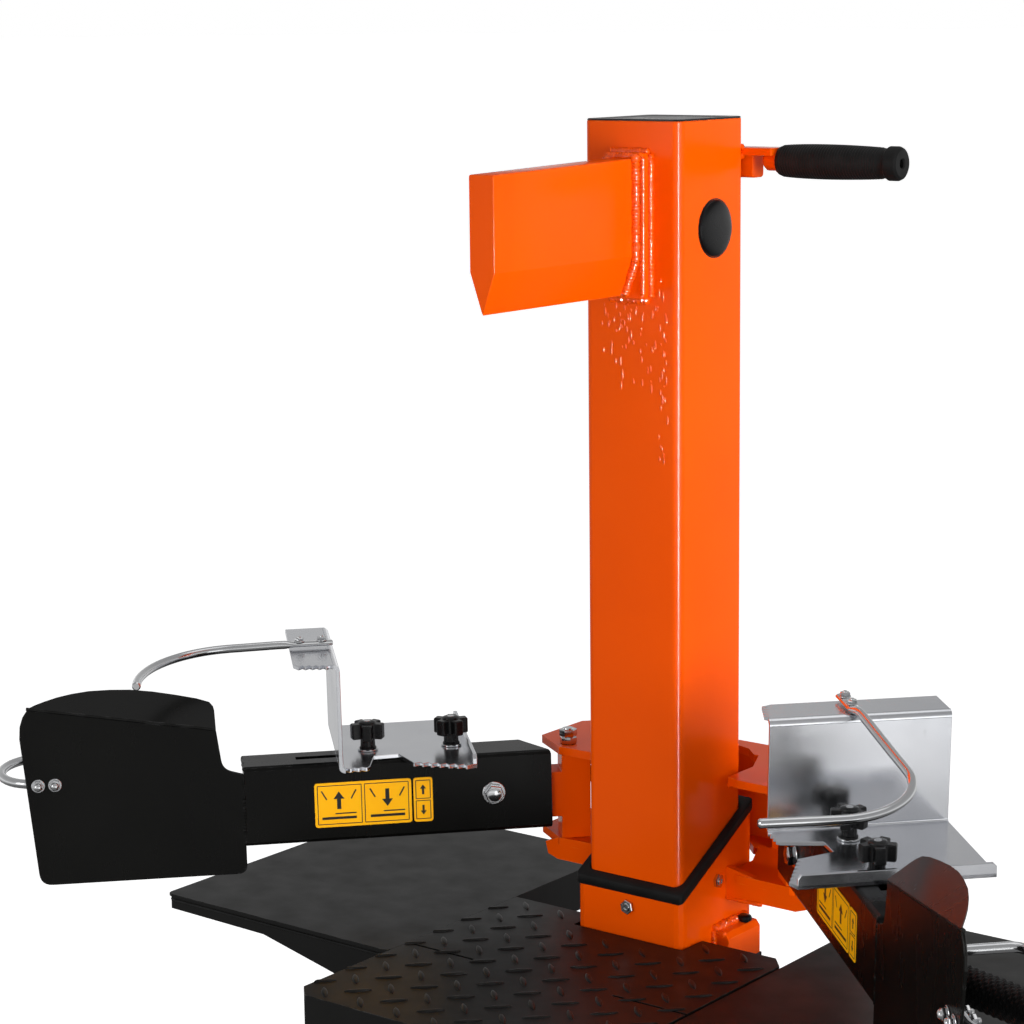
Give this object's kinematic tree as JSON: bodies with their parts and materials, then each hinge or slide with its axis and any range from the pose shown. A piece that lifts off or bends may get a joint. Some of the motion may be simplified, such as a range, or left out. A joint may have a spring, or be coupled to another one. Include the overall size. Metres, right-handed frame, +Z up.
{
  "type": "log splitter",
  "caption": "Upright hydraulic log splitter: square mast with a splitting wedge slides in a fixed column; swinging control arms with claws hold the log over a tread-plate table.",
  "frame": {"origin": "on the ground under the column's axis, on the cross bar of the rubber foot strip", "axes": "+Z up, -Y towards the operator (the way the wedge points), +X to the side of the transport handle's grip"},
  "size_m": [1.1594, 0.7118, 1.4925],
  "materials": {
    "orange_paint": "gloss powder coat",
    "black_paint": "satin powder coat",
    "zinc_steel": "bright galvanised",
    "bright_steel": "ground and plated",
    "black_rubber": "matte",
    "tyre": "matte",
    "black_plastic": "satin",
    "cast_aluminium": "cast",
    "green_plastic": "gloss",
    "red_plastic": "gloss"
  },
  "bodies": {
    "base": {"base_plate": "black_paint", "base_strip": "black_rubber", "fixed_column": "orange_paint", "collar_seal": "black_rubber", "guide_screw_front": "zinc_steel", "guide_screw_side": "zinc_steel", "bracket_frame": "orange_paint", "swing_pin_left": "zinc_steel", "swing_pin_right": "zinc_steel", "checker_table": "black_paint", "side_table_left": "black_paint", "side_table_right": "black_paint", "axle": "zinc_steel", "oil_tank": "black_paint", "oil_cap": "red_plastic", "gear_pump": "cast_aluminium", "motor_body": "cast_aluminium", "motor_fan_cover": "black_plastic", "switch_box": "black_plastic", "power_inlet": "black_plastic", "valve_block": "cast_aluminium", "pressure_pipe": "zinc_steel", "cylinder_barrel": "bright_steel"},
    "mast": {"mast_tube": "orange_paint", "mast_cap": "black_plastic", "pin_plug_left": "black_plastic", "pin_plug_right": "black_plastic", "splitting_wedge": "orange_paint", "transport_handle": "orange_paint", "handle_grip": "black_rubber", "piston_rod": "bright_steel", "rod_pin": "bright_steel"},
    "yoke_left": {"arm_yoke_left": "orange_paint"},
    "arm_left": {"arm_tube_left": "black_paint", "tilt_bolt_left": "zinc_steel", "hand_guard_left": "black_paint", "hand_loop_left": "zinc_steel", "control_grip_left": "black_rubber"},
    "claw_left": {"claw_bracket_left": "zinc_steel", "hook_rod_left": "zinc_steel"},
    "knob_near_left": {"knob_near_left": "black_plastic"},
    "knob_far_left": {"knob_far_left": "black_plastic"},
    "trip_lever_left": {"trip_lever_left": "zinc_steel"},
    "wheel_left": {"wheel_left": "tyre"},
    "yoke_right": {"arm_yoke_right": "orange_paint"},
    "arm_right": {"arm_tube_right": "black_paint", "tilt_bolt_right": "zinc_steel", "hand_guard_right": "black_paint", "hand_loop_right": "zinc_steel", "control_grip_right": "black_rubber"},
    "claw_right": {"claw_bracket_right": "zinc_steel", "hook_rod_right": "zinc_steel"},
    "knob_near_right": {"knob_near_right": "black_plastic"},
    "knob_far_right": {"knob_far_right": "black_plastic"},
    "trip_lever_right": {"trip_lever_right": "zinc_steel"},
    "wheel_right": {"wheel_right": "tyre"},
    "valve_spool": {"valve_spool": "bright_steel"},
    "lock_pin": {"lock_pin": "black_plastic"},
    "start_button": {"start_button": "green_plastic"},
    "stop_button": {"stop_button": "red_plastic"}
  },
  "joints": [
    {"name": "mast_stroke", "type": "slide", "parent": "base", "child": "mast", "axis": [0, 0, -1], "range_m": [0, 0.48]},
    {"name": "arm_swing_left", "type": "hinge", "parent": "base", "child": "yoke_left", "pos_m": [-0.135, 0.0256, 0.83], "axis": [0, 0, 1], "range_deg": [-30, 25]},
    {"name": "arm_tilt_left", "type": "hinge", "parent": "yoke_left", "child": "arm_left", "pos_m": [-0.19016, -0.03053, 0.83], "axis": [0.7133, -0.7009, 0], "range_deg": [-4, 4], "stiffness_Nm_per_rad": 400, "springref_deg": -1.29},
    {"name": "claw_slide_left", "type": "slide", "parent": "arm_left", "child": "claw_left", "axis": [-0.7008, -0.7132, -0.014], "range_m": [-0.015, 0.06]},
    {"name": "knob_near_left_turn", "type": "hinge", "parent": "claw_left", "child": "knob_near_left", "pos_m": [-0.27517, -0.11704, 0.82831], "axis": [-0.0098, -0.01, 0.9999], "range_deg": [-180, 180]},
    {"name": "knob_far_left_turn", "type": "hinge", "parent": "claw_left", "child": "knob_far_left", "pos_m": [-0.217, -0.05785, 0.82947], "axis": [-0.0098, -0.01, 0.9999], "range_deg": [-180, 180]},
    {"name": "wheel_left_turn", "type": "hinge", "parent": "base", "child": "wheel_left", "pos_m": [-0.235, 0.236, 0.1], "axis": [1, 0, 0], "continuous": true},
    {"name": "trip_lever_left_turn", "type": "hinge", "parent": "base", "child": "trip_lever_left", "pos_m": [-0.062, 0.088, 0.846], "axis": [0, 1, 0], "range_deg": [-8, 8]},
    {"name": "arm_swing_right", "type": "hinge", "parent": "base", "child": "yoke_right", "pos_m": [0.135, 0.0256, 0.83], "axis": [0, 0, -1], "range_deg": [-30, 25]},
    {"name": "arm_tilt_right", "type": "hinge", "parent": "yoke_right", "child": "arm_right", "pos_m": [0.19302, -0.02757, 0.83], "axis": [0.6756, 0.7373, 0], "range_deg": [-4, 2], "stiffness_Nm_per_rad": 400, "springref_deg": -1.29},
    {"name": "claw_slide_right", "type": "slide", "parent": "arm_right", "child": "claw_right", "axis": [0.7358, -0.6743, -0.0628], "range_m": [-0.055, 0.02]},
    {"name": "knob_near_right_turn", "type": "hinge", "parent": "claw_right", "child": "knob_near_right", "pos_m": [0.25285, -0.08239, 0.8249], "axis": [0.0463, -0.0424, 0.998], "range_deg": [-180, 180]},
    {"name": "knob_far_right_turn", "type": "hinge", "parent": "claw_right", "child": "knob_far_right", "pos_m": [0.31392, -0.13835, 0.81968], "axis": [0.0463, -0.0424, 0.998], "range_deg": [-180, 180]},
    {"name": "wheel_right_turn", "type": "hinge", "parent": "base", "child": "wheel_right", "pos_m": [0.235, 0.236, 0.1], "axis": [1, 0, 0], "continuous": true},
    {"name": "trip_lever_right_turn", "type": "hinge", "parent": "base", "child": "trip_lever_right", "pos_m": [0.062, 0.088, 0.846], "axis": [0, -1, 0], "range_deg": [-8, 8]},
    {"name": "valve_spool_slide", "type": "slide", "parent": "base", "child": "valve_spool", "axis": [0, 0, -1], "range_m": [-0.0075, 0.0075]},
    {"name": "lock_pin_pull", "type": "slide", "parent": "base", "child": "lock_pin", "axis": [0, 0, 1], "range_m": [0, 0.012]},
    {"name": "start_button_press", "type": "slide", "parent": "base", "child": "start_button", "axis": [-1, 0, 0], "range_m": [0, 0.003], "stiffness_N_per_m": 600, "springref_m": -0.002},
    {"name": "stop_button_press", "type": "slide", "parent": "base", "child": "stop_button", "axis": [-1, 0, 0], "range_m": [0, 0.003], "stiffness_N_per_m": 600, "springref_m": -0.002}
  ],
  "couplings": [
    {"joint": "trip_lever_left_turn", "follows": "arm_tilt_left", "ratio": 1.978},
    {"joint": "trip_lever_right_turn", "follows": "arm_tilt_right", "ratio": 1.978},
    {"joint": "valve_spool_slide", "follows": "arm_tilt_left", "m_per_rad": 0.103}
  ]
}
